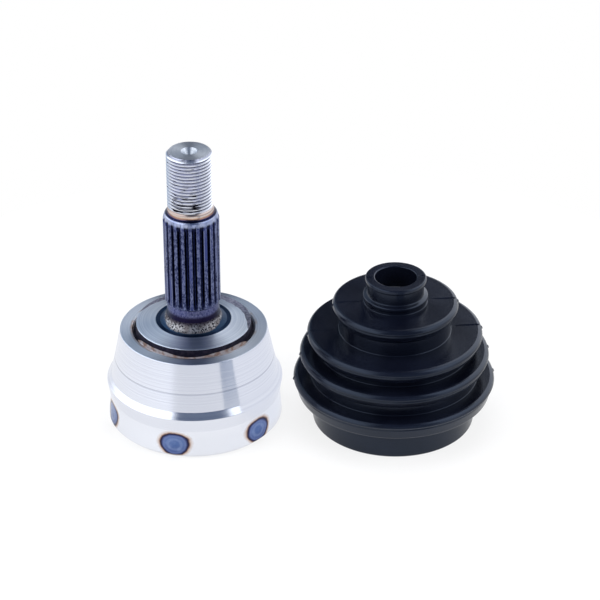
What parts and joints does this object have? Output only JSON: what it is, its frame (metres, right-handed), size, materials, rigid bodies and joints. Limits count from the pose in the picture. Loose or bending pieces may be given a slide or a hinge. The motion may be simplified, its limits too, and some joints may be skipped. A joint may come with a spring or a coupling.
{
  "type": "cv joint",
  "caption": "Outer constant velocity joint, ball-and-cage type, with splined and threaded stub, standing mouth down beside its rubber bellows boot.",
  "frame": {"origin": "centre of the bell's open mouth face, on the surface that the joint and the boot stand on", "axes": "+Z along the joint's axis, towards the threaded end of the stub; +X towards the boot"},
  "size_m": [0.1719, 0.0892, 0.1302],
  "materials": {
    "race_steel": "machined and ground, heat-tinted where it was hardened",
    "cage_steel": "phosphated, dark and satin",
    "ball_steel": "polished",
    "ring_steel": "blackened spring steel",
    "boot_rubber": "satin moulded rubber"
  },
  "bodies": {
    "outer_race": {"outer_race": "race_steel"},
    "inner_race": {"inner_race": "race_steel", "retaining_ring": "ring_steel"},
    "cage": {"cage": "cage_steel"},
    "ball_1": {"ball_1": "ball_steel"},
    "ball_2": {"ball_2": "ball_steel"},
    "ball_3": {"ball_3": "ball_steel"},
    "ball_4": {"ball_4": "ball_steel"},
    "ball_5": {"ball_5": "ball_steel"},
    "ball_6": {"ball_6": "ball_steel"},
    "boot": {"boot": "boot_rubber"}
  },
  "joints": [
    {"name": "articulation", "type": "hinge", "parent": "outer_race", "child": "inner_race", "pos_m": [0, 0, 0.0145], "axis": [1, 0, 0], "range_deg": [-45, 45]},
    {"name": "cage_tilt", "type": "hinge", "parent": "outer_race", "child": "cage", "pos_m": [0, 0, 0.0145], "axis": [1, 0, 0], "range_deg": [-23, 23]},
    {"name": "ball_1_roll", "type": "hinge", "parent": "outer_race", "child": "ball_1", "pos_m": [0, 0, 0.0125], "axis": [-0.9681, 0.2504, 0], "range_deg": [-23, 23]},
    {"name": "ball_2_roll", "type": "hinge", "parent": "outer_race", "child": "ball_2", "pos_m": [0, 0, 0.0125], "axis": [-0.7009, -0.7133, 0], "range_deg": [-17, 17]},
    {"name": "ball_3_roll", "type": "hinge", "parent": "outer_race", "child": "ball_3", "pos_m": [0, 0, 0.0125], "axis": [0.2672, -0.9636, 0], "range_deg": [-7, 7]},
    {"name": "ball_4_roll", "type": "hinge", "parent": "outer_race", "child": "ball_4", "pos_m": [0, 0, 0.0125], "axis": [0.9681, -0.2504, 0], "range_deg": [-23, 23]},
    {"name": "ball_5_roll", "type": "hinge", "parent": "outer_race", "child": "ball_5", "pos_m": [0, 0, 0.0125], "axis": [0.7009, 0.7133, 0], "range_deg": [-17, 17]},
    {"name": "ball_6_roll", "type": "hinge", "parent": "outer_race", "child": "ball_6", "pos_m": [0, 0, 0.0125], "axis": [-0.2672, 0.9636, 0], "range_deg": [-7, 7]},
    {"name": "boot_lift", "type": "slide", "parent": "outer_race", "child": "boot", "axis": [0, 0, 1], "range_m": [0, 0.15]}
  ],
  "couplings": [
    {"joint": "cage_tilt", "follows": "articulation", "ratio": 0.5},
    {"joint": "ball_1_roll", "follows": "articulation", "ratio": -0.486},
    {"joint": "ball_2_roll", "follows": "articulation", "ratio": -0.359},
    {"joint": "ball_3_roll", "follows": "articulation", "ratio": 0.139},
    {"joint": "ball_4_roll", "follows": "articulation", "ratio": 0.486},
    {"joint": "ball_5_roll", "follows": "articulation", "ratio": 0.359},
    {"joint": "ball_6_roll", "follows": "articulation", "ratio": -0.139}
  ]
}
